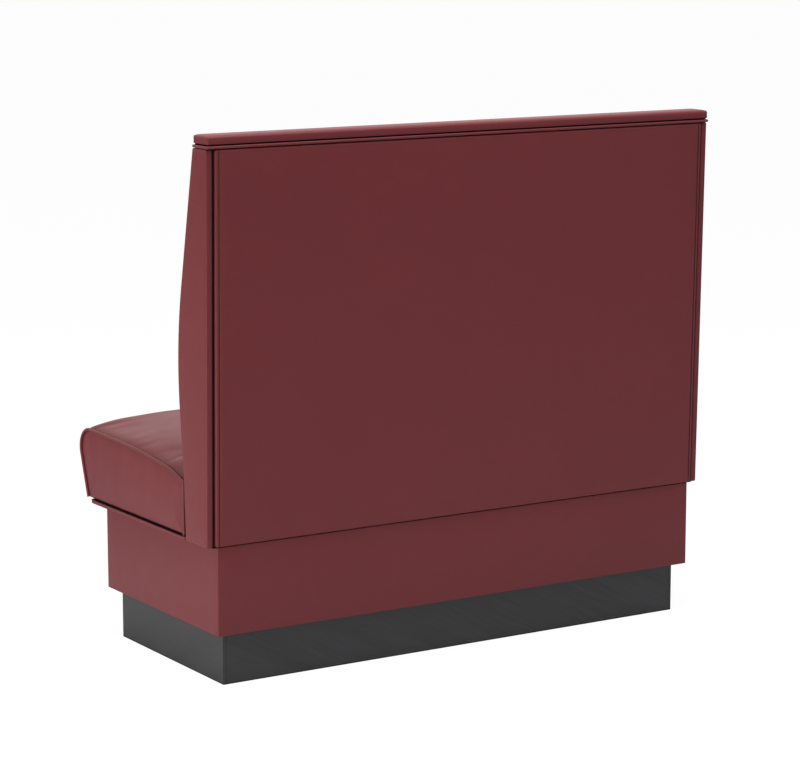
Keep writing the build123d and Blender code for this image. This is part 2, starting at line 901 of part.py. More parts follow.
def main():
    """Centres the booth over its origin and writes each piece."""
    pieces = build()
    boxes = [piece.bounding_box() for piece in pieces.values()]
    rearmost = max(box.max.Y for box in boxes)
    foremost = min(box.min.Y for box in boxes)
    centred = Pos(0, -(rearmost + foremost) / 2, 0)
    os.makedirs("parts", exist_ok=True)
    for name, piece in pieces.items():
        export_step(centred * piece, f"parts/{name}.step")
    print("shift along Y", round(-(rearmost + foremost) / 2, 4), "depth", rearmost - foremost)


main()
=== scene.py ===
"""Single restaurant booth: vinyl over padding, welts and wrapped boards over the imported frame.

Metres, +Z up. +X runs along the bench to the near end of the picture, and +Y points to the rear.
A side outline is drawn as (fore, height) pairs, where fore is the distance forward of the box's
rear face.
"""

import math

import bmesh
import bpy
import numpy as np
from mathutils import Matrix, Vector


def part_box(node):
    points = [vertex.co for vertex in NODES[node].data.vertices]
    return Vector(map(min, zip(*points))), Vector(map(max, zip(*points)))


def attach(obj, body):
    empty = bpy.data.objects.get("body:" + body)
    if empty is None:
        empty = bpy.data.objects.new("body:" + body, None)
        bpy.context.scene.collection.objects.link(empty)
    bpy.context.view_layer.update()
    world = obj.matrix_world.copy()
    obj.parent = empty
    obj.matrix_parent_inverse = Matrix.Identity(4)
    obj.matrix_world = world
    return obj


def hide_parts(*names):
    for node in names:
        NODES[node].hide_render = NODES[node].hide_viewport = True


bl_info = {
    "name": "Restaurant booth",
    "version": (1, 0, 0),
    "blender": (4, 5, 0),
    "location": "View3D > Sidebar > Booth",
    "description": "Builds the upholstery, finishes and studio of a single restaurant booth",
    "category": "Add Mesh",
}

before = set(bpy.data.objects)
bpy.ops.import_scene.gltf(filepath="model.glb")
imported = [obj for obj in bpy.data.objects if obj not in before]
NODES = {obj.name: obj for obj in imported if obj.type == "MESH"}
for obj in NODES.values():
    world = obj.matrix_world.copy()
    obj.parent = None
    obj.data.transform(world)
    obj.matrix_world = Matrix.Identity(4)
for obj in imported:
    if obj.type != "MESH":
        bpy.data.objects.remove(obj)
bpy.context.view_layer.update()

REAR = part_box("riser_cover")[1].y
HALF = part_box("wing_cover_left")[1].x
BOX_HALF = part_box("riser_cover")[1].x
BOX_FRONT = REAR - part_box("riser_cover")[0].y
BOX_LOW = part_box("riser_cover")[0].z
BOX_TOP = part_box("riser_cover")[1].z
BACK_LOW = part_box("wing_cover_left")[0].z
BACK_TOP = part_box("wing_cover_left")[1].z
SEAT_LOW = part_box("seat_welt_left")[0].z
CAP_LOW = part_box("cap_cover")[0].z
FRAME_LOW, FRAME_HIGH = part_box("seat_rail_left")
RAIL_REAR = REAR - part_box("seat_rail_rear")[1].y
RAIL_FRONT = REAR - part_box("seat_rail_front")[0].y
BOARD_LOW, BOARD_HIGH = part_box("seat_base_board")
WEB_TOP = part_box("seat_webbing_cross")[1].z
KICK_IN, KICK_HALF = [corner.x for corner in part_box("toe_kick_face_left")]
# beyond these places along the bench, a cover is tucked into its seam, and its vinyl there is
# painted dark as the shade in the seam
SEAT_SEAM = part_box("seat_cover")[1].x - 0.0026
BACK_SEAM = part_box("back_cover")[1].x - 0.002
# how far in from its seam the seat's cover is dull and painted darker as shade, and half the width
# of the panel's crease
DULL_RUN = 0.035
CREASE_HALF = 0.0009
ENDS = (("left", 1), ("right", -1))
ALONG_BENCH = (1, 0, 0)
CORD_SIDES = 14
# the seat's upper corners behind its nose: shares of its depth, of its height and of its crown
SEAT_SHARES = ((0, 0.734, 0.3), (0.124, 0.855, 0.88), (0.445, 0.962, 1))
# the cloth solver's cover: its stiffness, the pressure in it and how far a point may move
CLOTH = {
    "quality": 5,
    "mass": 0.4,
    "tension_stiffness": 12,
    "compression_stiffness": 12,
    "shear_stiffness": 6,
    "bending_stiffness": 2,
    "pin_stiffness": 1,
    "use_pressure": True,
    "uniform_pressure_force": 3,
    "shrink_min": -0.001,
}
CLOTH_FRAMES = 20
CLOTH_REACH = 0.004


# Sizes and colours that a user may change


def length(name, default, text):
    """A length in metres, shown in the scene's unit."""
    return bpy.props.FloatProperty(
        name=name, description=text, default=default, unit="LENGTH", precision=4
    )


def share(name, default, text):
    """A plain share from 0 to 1 or a little over."""
    return bpy.props.FloatProperty(name=name, description=text, default=default, precision=3)


def paint(name, default, text):
    """A colour without alpha, in scene-linear values."""
    return bpy.props.FloatVectorProperty(
        name=name, description=text, default=default, size=3, subtype="COLOR", min=0, max=1
    )


class BoothSizes(bpy.types.PropertyGroup):
    """Sizes of the upholstery."""

    back_lean: length("Back lean", 0.0146, "How far the back leans to the rear over its height")
    foot_reach: length("Foot reach", 0.086, "Depth of the back at its foot")
    waist_reach: length("Waist reach", 0.091, "Reach of the back just above the seat")
    bulge_reach: length("Bulge reach", 0.1155, "Reach of the back at its fullest height")
    top_reach: length("Top reach", 0.039, "Reach of the back under the cap")
    waist_share: share("Waist height", 0.163, "Height of the waist as a share of the back")
    bulge_share: share("Bulge height", 0.489, "Height of the bulge as a share of the back")
    waist_bend: share("Waist bend", 0.66, "Bend radius at the waist over the back's height")
    bulge_bend: share("Bulge bend", 1.06, "Bend radius at the bulge over the back's height")
    back_crown: length("Back crown", 0.022, "How far the inside back swells at its middle")
    back_pad: length("Back padding", 0.026, "Thickness of the inside back's foam")
    rim: length("Rim", 0.0127, "Width of the rim that the end covers show")
    end_pillow: length("End pillow", 0.0016, "How far the padded ends swell")
    end_edge: length("End edge", 0.001, "Radius of the padded ends' edges")
    end_corner: length("End corner", 0.0035, "Corner radius of the back's side outline")
    groove: length("Panel groove", 0.0047, "Gap between the outside panel and the rims")
    proud: length("Panel proud", 0.0057, "How far the outside panel stands out")
    crease: length("Panel crease", 0.0064, "Distance of the panel's crease from its edge")
    cap_face: length("Cap face", 0.013, "Height of the cap's upright faces")
    cap_crown: length("Cap crown", 0.0045, "Height of the cap's crown")
    cap_end: length("Cap end", 0.009, "Length over which the cap's crown dies away")
    welt: length("Welt radius", 0.0027, "Radius of the back's and the cap's welt cords")
    seat_welt: length("Seat welt radius", 0.003, "Radius of the seat's welt cords")
    skin: length("Vinyl", 0.0012, "Thickness of the vinyl with its backing")
    gap: length("Clearance", 0.0003, "Clearance between neighbours")
    seat_rear: length("Seat rear", 0.0932, "Distance of the seat's rear from the box's rear face")
    seat_depth: length("Seat depth", 0.4658, "Depth of the seat")
    seat_height: length("Seat height", 0.145, "Height of the seat's end outline")
    seat_crown: length("Seat crown", 0.0145, "How far the seat's top swells")
    nose_crown: length("Nose crown", 0.007, "How far the seat's nose swells")
    crown_run: length("Crown run", 0.27, "Length over which a crown grows from a welted end")
    pucker: length("Puckers", 0.00025, "Depth of the puckers along sewn seams")
    seam: length("Seam", 0.0032, "Depth to which a cover draws in beside its welt")


class BoothColours(bpy.types.PropertyGroup):
    """Colours of the finishes."""

    vinyl: paint("Vinyl", (0.17, 0.022, 0.026), "Burgundy vinyl")
    cord: paint("Welt vinyl", (0.155, 0.02, 0.024), "Burgundy vinyl over cord")
    laminate: paint("Laminate", (0.04, 0.039, 0.041), "Charcoal laminate")
    birch: paint("Plywood", (0.55, 0.39, 0.23), "Plywood faces")
    pine: paint("Softwood", (0.6, 0.42, 0.23), "Sawn softwood")
    fibre: paint("Hardboard", (0.17, 0.095, 0.05), "Brown hardboard")
    foam: paint("Foam", (0.72, 0.66, 0.47), "Cream foam")
    jute: paint("Webbing", (0.38, 0.28, 0.16), "Jute webbing")
    zinc: paint("Zinc", (0.58, 0.59, 0.6), "Zinc-plated steel")
    # black cloth put in grooves and gaps as painted shade
    lining: paint("Lining", (0.006, 0.006, 0.007), "Black dust cloth")
    floor: paint("Floor", (0.8, 0.8, 0.8), "Pale studio floor")


# Shader maths


class Value:
    """A node socket that takes part in sums. Each operator adds one Math node."""

    def __init__(self, recipe, socket):
        self.recipe = recipe
        self.socket = socket

    def math(self, operation, *others):
        """This socket and others through a Math node."""
        inputs = dict(enumerate((self, *others)))
        return self.recipe.node("ShaderNodeMath", {"operation": operation}, inputs)

    def __add__(self, other):
        return self.math("ADD", other)

    def __sub__(self, other):
        return self.math("SUBTRACT", other)

    def __mul__(self, other):
        return self.math("MULTIPLY", other)

    def __truediv__(self, other):
        return self.math("DIVIDE", other)

    def __pow__(self, other):
        return self.math("POWER", other)

    def __rsub__(self, other):
        return (self * -1).math("ADD", other)

    def above(self, edge):
        """1 where this is over the edge, and 0 elsewhere."""
        return self.math("GREATER_THAN", edge)

    def size(self):
        """The value without its sign."""
        return self.math("ABSOLUTE")

    def wave(self):
        """The sine, shifted to run from 0 to 1."""
        return self.math("SINE") * 0.5 + 0.5


class Recipe:
    """One material: its node tree, its Principled shader and the coordinates of the piece."""

    def __init__(self, name, **fixed):
        self.material = bpy.data.materials.new(name)
        self.material.use_nodes = True
        self.tree = self.material.node_tree
        self.shader = self.tree.nodes["Principled BSDF"]
        for socket, value in fixed.items():
            self.shader.inputs[socket.replace("_", " ")].default_value = value
        coordinates = self.tree.nodes.new("ShaderNodeTexCoord")
        self.place = Value(self, coordinates.outputs["Object"])
        self.facing = Value(self, coordinates.outputs["Normal"])

    def node(self, kind, settings=None, inputs=None, output=0):
        """Adds one node: its settings first, then the values or links of its sockets."""
        node = self.tree.nodes.new(kind)
        for key, value in (settings or {}).items():
            setattr(node, key, value)
        for key, value in (inputs or {}).items():
            if isinstance(value, Value):
                self.tree.links.new(value.socket, node.inputs[key])
            else:
                node.inputs[key].default_value = value
        return Value(self, node.outputs[output])

    def dress(self, colour, roughness, normal):
        """Feeds the shader, and returns the material."""
        for socket, value in (("Base Color", colour), ("Roughness", roughness), ("Normal", normal)):
            self.tree.links.new(value.socket, self.shader.inputs[socket])
        return self.material

    def axes(self, value=None):
        """The three parts of a vector."""
        source = value or self.place
        split = self.node("ShaderNodeSeparateXYZ", None, {0: source}).socket.node
        return [Value(self, out) for out in split.outputs]

    def vector(self, x, y, z):
        """A vector from three values."""
        return self.node("ShaderNodeCombineXYZ", None, {0: x, 1: y, 2: z})

    def noise(self, scale, detail=2.0, roughness=0.5, vector=None):
        """Smooth noise from 0 to 1 with cells of about 1 / scale metres."""
        inputs = {"Scale": scale, "Detail": detail, "Roughness": roughness}
        return self.node("ShaderNodeTexNoise", None, {**inputs, "Vector": vector or self.place})

    def cells(self, scale):
        """Distances inside irregular cells, as in a leather grain."""
        return self.node("ShaderNodeTexVoronoi", None, {"Scale": scale, "Vector": self.place})

    def blend(self, factor, first, second):
        """A colour between two colours or colour sockets."""
        settings = {"data_type": "RGBA"}
        ends = {6: first, 7: second}
        for key, value in ends.items():
            if not isinstance(value, Value):
                ends[key] = (*value, 1)
        return self.node("ShaderNodeMix", settings, {0: factor, **ends}, 2)

    def shades(self, factor, colour, dark, light):
        """A blend between two shares of one colour."""
        return self.blend(factor, scaled(colour, dark), scaled(colour, light))

    def bump(self, height, distance, strength, normal=None):
        """A normal that follows a height in shares of the distance."""
        inputs = {"Height": height, "Distance": distance, "Strength": strength}
        if normal:
            inputs["Normal"] = normal
        return self.node("ShaderNodeBump", None, inputs)


def scaled(colour, factor):
    """A colour made lighter or darker."""
    return tuple(min(part * factor, 1) for part in colour)


def vinyl(name, colour, grain=1.0, waves=1.0, seam=None, shade_band=None):
    """Satin upholstery vinyl: pebbled grain, soft unevenness, and mottled colour and gloss.

    Where seam is given, it makes a mask from the coordinates: inside it the vinyl is dark and dull,
    painted shade for the crease or seam it marks.
    The last argument makes a soft mask in the same way: inside it the vinyl is duller and a little
    darker, painted shade beside the seat's welts.
    """
    recipe = Recipe(name, Specular_IOR_Level=0.34)
    mottle = recipe.noise(5, 3) * 0.6 + recipe.noise(38, 2) * 0.4
    colour_out = recipe.shades(mottle, colour, 0.88, 1.12)
    pebble = recipe.cells(760)
    crease = recipe.noise(1500, 2)
    low = recipe.bump(recipe.noise(16, 2), 0.0012, 0.35 * waves)
    fine = recipe.bump(pebble * 0.7 + crease * 0.3, 0.00012, 0.55 * grain, low)
    roughness = recipe.noise(24, 3) * 0.1 + pebble * 0.08 + 0.36
    # painted shade: a soft darker band beside the seat's welts, with the vinyl duller there too
    if shade_band:
        mask = shade_band(*recipe.axes())
        colour_out = recipe.blend(mask, colour_out, scaled(colour, 0.72))
        roughness = roughness + mask * 0.22
    # painted shade: inside the seam mask the vinyl goes near black, as a crease or tucked seam in
    # shade
    if seam:
        mask = seam(*recipe.axes())
        colour_out = recipe.blend(mask, colour_out, scaled(colour, 0.1))
        roughness = roughness + mask * 0.4
    return recipe.dress(colour_out, roughness, fine)


def beyond(edge):
    """A mask for the ends of a cover, where the shade in its seam is painted: 1 where x is further
    from the middle than the edge.
    """
    return lambda x, y, z: x.size().above(edge)


def shade_beside_seam(x, y, z):
    """A soft mask of painted shade for the ends of the seat's cover: the square of the way to its
    seam.
    """
    return ((x.size() - (SEAT_SEAM - DULL_RUN)) / DULL_RUN).math("MAXIMUM", 0) ** 2


def panel_crease_shade(x, y, z):
    """A mask for the painted shade in the two creases: upright bands inside the side edges of the
    outside panel.
    """
    crease = bpy.context.scene.booth_sizes.crease + CREASE_HALF
    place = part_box("outside_back_cover")[1].x - crease
    return 1 - (x.size() - place).size().above(0.0008)


def laminate(name, colour):
    """Charcoal laminate: fine streaks at a slant, a dark line at joints, and a painted shadow line
    along the floor.
    """
    recipe = Recipe(name, Specular_IOR_Level=0.4)
    x, y, z = recipe.axes()
    level, steep = math.cos(0.5), math.sin(0.5)
    along = (x + y) * level + z * steep
    across = z * level - (x + y) * steep
    streaks = recipe.noise(1, 4, 0.6, recipe.vector(along * 9, across * 160, 0))
    broad = recipe.noise(1, 2, 0.5, recipe.vector(along * 2.5, across * 30, 4))
    tone = streaks * 0.65 + broad * 0.35
    face = recipe.shades(tone, colour, 0.4, 1.6)
    seam = (x.size() - KICK_IN).size()
    corner = (x.size() - KICK_HALF).size()
    along_face = recipe.axes(recipe.facing)[1].size().above(0.5)
    joint = (1 - seam.above(0.0006) * corner.above(0.0008)) * along_face
    # painted shadow: a dark line where the boards stand on the floor, joined to the real joint
    # lines
    line = 1 - (1 - joint) * z.above(0.0022)
    shade = recipe.blend(line, face, scaled(colour, 0.2))
    return recipe.dress(shade, tone * 0.12 + 0.4, recipe.bump(streaks, 0.0001, 0.5))


def timber(name, colour, run):
    """Sawn timber: long grain along one axis, with pores and darker late wood."""
    recipe = Recipe(name, Specular_IOR_Level=0.3)
    parts = recipe.axes()
    parts = [part if i == run else part * 28 for i, part in enumerate(parts)]
    grain = recipe.noise(6, 4, 0.6, recipe.vector(*parts))
    rings = (grain * 36).wave()
    pores = recipe.noise(60, 2, 0.7, recipe.vector(*parts))
    tone = rings * 0.5 + pores * 0.5
    shade = recipe.shades(tone, colour, 0.66, 1.12)
    return recipe.dress(shade, pores * 0.2 + 0.62, recipe.bump(tone, 0.0004, 0.4))


def plywood(name, colour, thick, run):
    """Plywood: a veneer's grain on its faces, and stacked plies where an edge shows."""
    recipe = Recipe(name, Specular_IOR_Level=0.3)
    parts = recipe.axes()
    facing = recipe.axes(recipe.facing)[thick].size()
    grain_parts = [part if i == run else part * 22 for i, part in enumerate(parts)]
    grain = recipe.noise(7, 4, 0.6, recipe.vector(*grain_parts))
    veneer = recipe.shades((grain * 28).wave(), colour, 0.84, 1.1)
    ply = 0.0015
    plies = (parts[thick] * (math.pi / ply)).wave()
    end_grain = recipe.shades(plies, colour, 0.38, 0.95)
    shade = recipe.blend(facing.above(0.5), end_grain, veneer)
    return recipe.dress(shade, grain * 0.15 + 0.58, recipe.bump(grain, 0.0003, 0.4))


def hardboard(name, colour):
    """Pressed brown board with short fibres."""
    recipe = Recipe(name, Specular_IOR_Level=0.35)
    fibres = recipe.noise(900, 4, 0.7) * 0.6 + recipe.noise(90, 3) * 0.4
    shade = recipe.shades(fibres, colour, 0.7, 1.3)
    return recipe.dress(shade, fibres * 0.25 + 0.5, recipe.bump(fibres, 0.0002, 0.5))


def webbing(name, colour):
    """Woven jute: over-and-under threads with uneven yarns."""
    recipe = Recipe(name, Specular_IOR_Level=0.2)
    x, y, _ = recipe.axes()
    thread = 0.0032
    turn = 2 * math.pi / thread
    weave = ((x * turn).wave() - (y * turn).wave()).size()
    yarn = recipe.noise(420, 3, 0.7)
    tone = weave * 0.6 + yarn * 0.4
    shade = recipe.shades(tone, colour, 0.55, 1.2)
    return recipe.dress(shade, yarn * 0.1 + 0.85, recipe.bump(tone, 0.0006, 0.8))


def zinc(name, colour):
    """Zinc plate: dull metal with a faint spangle."""
    recipe = Recipe(name, Metallic=1.0)
    spangle = recipe.cells(180) * 0.5 + recipe.noise(60, 3) * 0.5
    shade = recipe.shades(spangle, colour, 0.8, 1.15)
    return recipe.dress(shade, spangle * 0.2 + 0.3, recipe.bump(spangle, 0.0001, 0.3))


def cloth(name, colour):
    """Thin spun cloth, dull and fibrous. In black it stands in for the shade in grooves and gaps.
    """
    recipe = Recipe(name, Specular_IOR_Level=0.1)
    fibres = recipe.noise(1200, 3, 0.8)
    shade = recipe.shades(fibres, colour, 0.7, 1.5)
    return recipe.dress(shade, fibres * 0.05 + 0.93, recipe.bump(fibres, 0.0002, 0.5))


# each finish: its recipe, its colour and the recipe's details
RECIPES = {
    "booth_vinyl": (vinyl, "vinyl"),
    "booth_vinyl_flat": (vinyl, "vinyl", 1.0, 0.4),
    # painted shade: these three carry dark seam and crease masks in their colour
    "panel_vinyl": (vinyl, "vinyl", 1.0, 0.4, panel_crease_shade),
    "seat_vinyl": (vinyl, "vinyl", 1.0, 0.25, beyond(SEAT_SEAM), shade_beside_seam),
    "back_vinyl": (vinyl, "vinyl", 1.0, 0.5, beyond(BACK_SEAM)),
    "welt_vinyl": (vinyl, "cord", 1.2, 0.6),
    "black_laminate": (laminate, "laminate"),
    # plywood's details are the axis of its thickness and that of its grain
    "plywood_x": (plywood, "birch", 0, 2),
    "plywood_y": (plywood, "birch", 1, 0),
    "plywood_z": (plywood, "birch", 2, 0),
    "softwood_x": (timber, "pine", 0),
    "softwood_y": (timber, "pine", 1),
    "softwood_z": (timber, "pine", 2),
    "hardboard": (hardboard, "fibre"),
    "jute_webbing": (webbing, "jute"),
    "zinc_steel": (zinc, "zinc"),
    # painted shade: black cloth that stands in for the shade in grooves and gaps
    "dust_cloth": (cloth, "lining"),
    "seat_foam": (cloth, "foam"),
}
FINISHES = {}


def finish(name):
    """The material of that name, made on first use from the scene's colours."""
    if name not in FINISHES:
        recipe, colour, *details = RECIPES[name]
        tint = getattr(bpy.context.scene.booth_colours, colour)
        FINISHES[name] = recipe(name, tint, *details)
    return FINISHES[name]


# Outlines


def outline_steps(corners, radii, pitch, turn, closed=True):
    """How many steps each arc and each straight of an outline gets."""
    corners = np.asarray(corners, float)
    before, after = np.roll(corners, 1, 0) - corners, np.roll(corners, -1, 0) - corners
    reach = np.linalg.norm(before, axis=1) * np.linalg.norm(after, axis=1)
    cosine = np.clip((before * after).sum(1) / np.maximum(reach, 1e-12), -1, 1)
    bend = math.pi - np.arccos(cosine)
    radii = np.asarray(radii, float)
    arcs = np.ceil(np.maximum(bend / turn, bend * radii / pitch)).astype(int)
    arcs = np.where(radii > 0, np.maximum(arcs, 3), 0)
    straights = np.ceil(np.linalg.norm(after, axis=1) / pitch).astype(int)
    if not closed:
        arcs[[0, -1]] = 0
    return arcs, np.maximum(straights, 1)


def rounded(corners, radii, steps, closed=True):
    """Points along an outline whose corners are arcs that touch both of their sides.

    With h half the corner's angle, an arc of radius r starts r / tan(h) before the corner, and its
    centre lies r / sin(h) from the corner along the bisector.
    """
    corners = np.asarray(corners, float)
    arcs, straights = steps
    runs = []
    for i, here in enumerate(corners):
        if arcs[i] == 0:
            runs.append(here[None])
            continue
        back = corners[i - 1] - here
        on = corners[(i + 1) % len(corners)] - here
        back, on = back / np.linalg.norm(back), on / np.linalg.norm(on)
        half = math.acos(np.clip(back @ on, -1, 1)) / 2
        middle = here + (back + on) / np.linalg.norm(back + on) * radii[i] / math.sin(half)
        start = here + back * radii[i] / math.tan(half) - middle
        side = np.sign(-back[0] * on[1] + back[1] * on[0])
        angles = math.atan2(start[1], start[0]) + side * np.linspace(
            0, math.pi - 2 * half, arcs[i] + 1
        )
        runs.append(middle + radii[i] * np.stack([np.cos(angles), np.sin(angles)], 1))
    pieces = []
    for i, run in enumerate(runs):
        pieces.append(run)
        if i + 1 < len(runs) or closed:
            ahead = runs[(i + 1) % len(runs)][0]
            steps_on = np.linspace(0, 1, straights[i] + 1)[1:-1, None]
            pieces.append(run[-1] + (ahead - run[-1]) * steps_on)
    return np.concatenate(pieces)


def outline(corners, radii, pitch, turn, closed=True):
    """An outline with steps of its own."""
    return rounded(corners, radii, outline_steps(corners, radii, pitch, turn, closed), closed)


def nested(half, low, high, insets, corner, pitch=0.02):
    """Rounded rectangles one inside the other, each drawn in by its inset, with points in step."""
    steps = None
    rows = []
    for inset in insets:
        x, near, far = half - inset, low + inset, high - inset
        corners = [(x, near), (x, far), (-x, far), (-x, near)]
        radii = [max(corner - inset, 0.0003)] * 4
        steps = steps or outline_steps(corners, radii, pitch, 0.2)
        rows.append(rounded(corners, radii, steps))
    return np.stack(rows)


def outward(points):
    """Unit normals of a closed outline, square to the line through each point's neighbours."""
    along = np.roll(points, -1, 0) - np.roll(points, 1, 0)
    normals = np.stack([along[:, 1], -along[:, 0]], 1)
    normals /= np.maximum(np.linalg.norm(normals, axis=1, keepdims=True), 1e-12)
    following = np.roll(points, -1, 0)
    area = (points[:, 0] * following[:, 1] - following[:, 0] * points[:, 1]).sum()
    return normals * np.sign(area)


def smooth(t):
    """A step from 0 to 1 with level ends: 3 t squared less 2 t cubed."""
    t = np.clip(t, 0, 1)
    return t * t * (3 - 2 * t)


def ripple(along, away, run):
    """Uneven puckers across a seam: three sines of unlike lengths that die away from it."""
    pitch = 0.03
    turn = 2 * math.pi / pitch
    parts = ((1, 1, 0), (0.7, 1.73, 1.1), (0.5, 0.41, 2.3))
    waves = sum(size * np.sin(along * turn * rate + shift) for size, rate, shift in parts)
    return waves / 2.2 * np.exp(-away / run)


# Meshes


def surface(name, rows, finish_name, body, ring=False, caps=False, sharp=0.6):
    """A mesh over a grid of points, rows by columns by three.

    Each row joins up with itself. The last row joins the first where ring is set, and caps closes
    both with one face each. Points that fall together are merged and faces turned outwards.
    """
    count, width = rows.shape[:2]
    index = np.arange(count * width).reshape(count, width)
    index = np.concatenate([index, index[:, :1]], 1)
    if ring:
        index = np.concatenate([index, index[:1]], 0)
    faces = np.stack([index[:-1, :-1], index[:-1, 1:], index[1:, 1:], index[1:, :-1]], -1)
    polygons = faces.reshape(-1, 4).tolist()
    if caps:
        polygons += [list(range(width))[::-1], list(range((count - 1) * width, count * width))]
    mesh = bpy.data.meshes.new(name)
    mesh.from_pydata(rows.reshape(-1, 3).tolist(), [], polygons)
    work = bmesh.new()
    work.from_mesh(mesh)
    bmesh.ops.remove_doubles(work, verts=work.verts, dist=2e-6)
    bmesh.ops.recalc_face_normals(work, faces=work.faces)
    work.to_mesh(mesh)
    work.free()
    mesh.shade_smooth()
    mesh.set_sharp_from_angle(angle=sharp)
    mesh.materials.append(finish(finish_name))
    piece = bpy.data.objects.new(name, mesh)
    bpy.context.scene.collection.objects.link(piece)
    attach(piece, body)
    return piece


def slab(name, low, high, finish_name, body):
    """A plain box between two corners."""
    corners = [(low[0], low[1]), (high[0], low[1]), (high[0], high[1]), (low[0], high[1])]
    rows = np.array([[(x, y, z) for x, y in corners] for z in (low[2], high[2])])
    return surface(name, rows, finish_name, body, caps=True)


def side_rows(points, x):
    """A side outline's (fore, height) points at places along the bench, as points in space."""
    places = np.broadcast_to(x, points.shape[:-1])
    return np.stack([places, REAR - points[..., 0], points[..., 1]], -1)


def cord(name, path, across, radius, finish_name, body, closed=True):
    """A round cord along a path that lies in a plane whose unit normal is across.

    Its section is a circle in the plane of across and of the direction square to it and the path.
    """
    if closed:
        along = np.roll(path, -1, 0) - np.roll(path, 1, 0)
    else:
        along = np.gradient(path, axis=0)
    along /= np.linalg.norm(along, axis=1, keepdims=True)
    across = np.asarray(across, float)
    out = np.cross(along, across)
    turns = np.linspace(0, 2 * math.pi, CORD_SIDES, endpoint=False)
    ring = np.cos(turns)[:, None, None] * out + np.sin(turns)[:, None, None] * across
    rows = (path + ring * radius).transpose(1, 0, 2)
    return surface(name, rows, finish_name, body, closed, not closed, 1.2)


def swell(piece, held):
    """Lets the cloth solver fill the cover, then keeps every point within reach of where it was."""
    mesh = piece.data
    start = np.empty(len(mesh.vertices) * 3)
    mesh.vertices.foreach_get("co", start)
    start = start.reshape(-1, 3)
    group = piece.vertex_groups.new(name="held")
    group.add(np.nonzero(held(start))[0].tolist(), 1.0, "REPLACE")
    modifier = piece.modifiers.new("Fill", "CLOTH")
    for key, value in CLOTH.items():
        setattr(modifier.settings, key, value)
    modifier.settings.vertex_group_mass = "held"
    modifier.settings.effector_weights.gravity = 0
    modifier.point_cache.frame_start = 1
    modifier.point_cache.frame_end = CLOTH_FRAMES
    for number in range(1, CLOTH_FRAMES + 1):
        bpy.context.scene.frame_set(number)
    evaluated = piece.evaluated_get(bpy.context.evaluated_depsgraph_get())
    moved = np.empty(len(mesh.vertices) * 3)
    evaluated.data.vertices.foreach_get("co", moved)
    shift = moved.reshape(-1, 3) - start
    reach = np.linalg.norm(shift, axis=1, keepdims=True)
    shift *= CLOTH_REACH * np.tanh(reach / CLOTH_REACH) / np.maximum(reach, 1e-9)
    piece.modifiers.remove(modifier)
    piece.vertex_groups.remove(group)
    bpy.context.scene.frame_set(1)
    mesh.vertices.foreach_set("co", (start + shift).ravel())
    mesh.update()


# Shared shapes


def rear_line(height):
    """Fore distance of the back's leaning rear edge at a height."""
    sizes = bpy.context.scene.booth_sizes
    return -sizes.back_lean * (height - BACK_LOW) / (BACK_TOP - BACK_LOW)


def leaning(flat, outs):
    """Rows of (x, height) points that stand out from the back's rear edge, as points in space."""
    fore = rear_line(flat[..., 1]) - outs
    return np.stack([flat[..., 0], REAR - fore, flat[..., 1]], -1)


def front_corners():
    """The corners of the back's front edge from the foot up, and the radii of the inner two."""
    sizes = bpy.context.scene.booth_sizes
    tall = BACK_TOP - BACK_LOW
    corners = [
        (sizes.foot_reach, BACK_LOW),
        (sizes.waist_reach, BACK_LOW + tall * sizes.waist_share),
        (sizes.bulge_reach, BACK_LOW + tall * sizes.bulge_share),
        (sizes.top_reach, BACK_TOP),
    ]
    return corners, [tall * sizes.waist_bend, tall * sizes.bulge_bend]


def back_outline(pitch):
    """The back's whole side outline, from the rear of its foot forward and up."""
    corner = bpy.context.scene.booth_sizes.end_corner
    front, bends = front_corners()
    corners = [(rear_line(BACK_LOW), BACK_LOW), *front, (rear_line(BACK_TOP), BACK_TOP)]
    radii = [corner, corner, *bends, corner, corner]
    return outline(corners, radii, pitch, 0.2)


def front_edge(low, high, inset, crown, pitch=0.012):
    """The back's front edge between two heights, drawn in, with its bulge crowned out."""
    corners, bends = front_corners()
    foot, waist, bulge, top = np.array(corners)
    low_share = (low - foot[1]) / (waist[1] - foot[1])
    high_share = (high - bulge[1]) / (top[1] - bulge[1])
    start = foot + (waist - foot) * low_share
    end = bulge + (top - bulge) * high_share
    corners = np.array([start, waist, bulge, end]) - np.array([inset, 0])
    radii = [0, *bends, 0]
    steps = outline_steps(corners, radii, pitch, 0.1, False)
    corners[2, 0] += crown
    return rounded(corners, radii, steps, False)


def seat_corners(rise, inset):
    """Corners and radii of the seat's outline at a share of its crown, drawn in by an inset.

    They run from the rear foot over the rear top, the shoulder and the nose to the front foot.
    """
    sizes = bpy.context.scene.booth_sizes
    depth, tall = sizes.seat_depth, sizes.seat_height
    rear, front = sizes.seat_rear + inset, sizes.seat_rear + depth - inset
    lift, push = sizes.seat_crown * rise, sizes.nose_crown * rise
    upper = SEAT_LOW - inset
    corners = [(rear, SEAT_LOW + inset)]
    for along, up, crowned in SEAT_SHARES:
        fore = max(rear, sizes.seat_rear + depth * along)
        corners.append((fore, upper + tall * up + lift * crowned))
    corners.append((front + push, upper + tall + lift))
    corners.append((sizes.seat_rear + depth * 0.9 - inset, SEAT_LOW + inset))
    foot, rear_bend, nose = 0.006 - inset, 0.01 - inset, 0.044 - inset
    radii = [foot, rear_bend, depth * 0.6, depth * 3.2, nose, foot]
    return corners, [max(radius, 0.0004) for radius in radii]


def seat_end_outline(inset, foot, pitch, turn, closed):
    """The seat's plain outline for its end, with its feet on the frame's line."""
    corners, radii = seat_corners(0, inset)
    corners[0], corners[-1] = (corners[0][0], SEAT_LOW), (corners[-1][0], SEAT_LOW)
    radii[0] = radii[-1] = foot
    return outline(corners, radii, pitch, turn, closed)


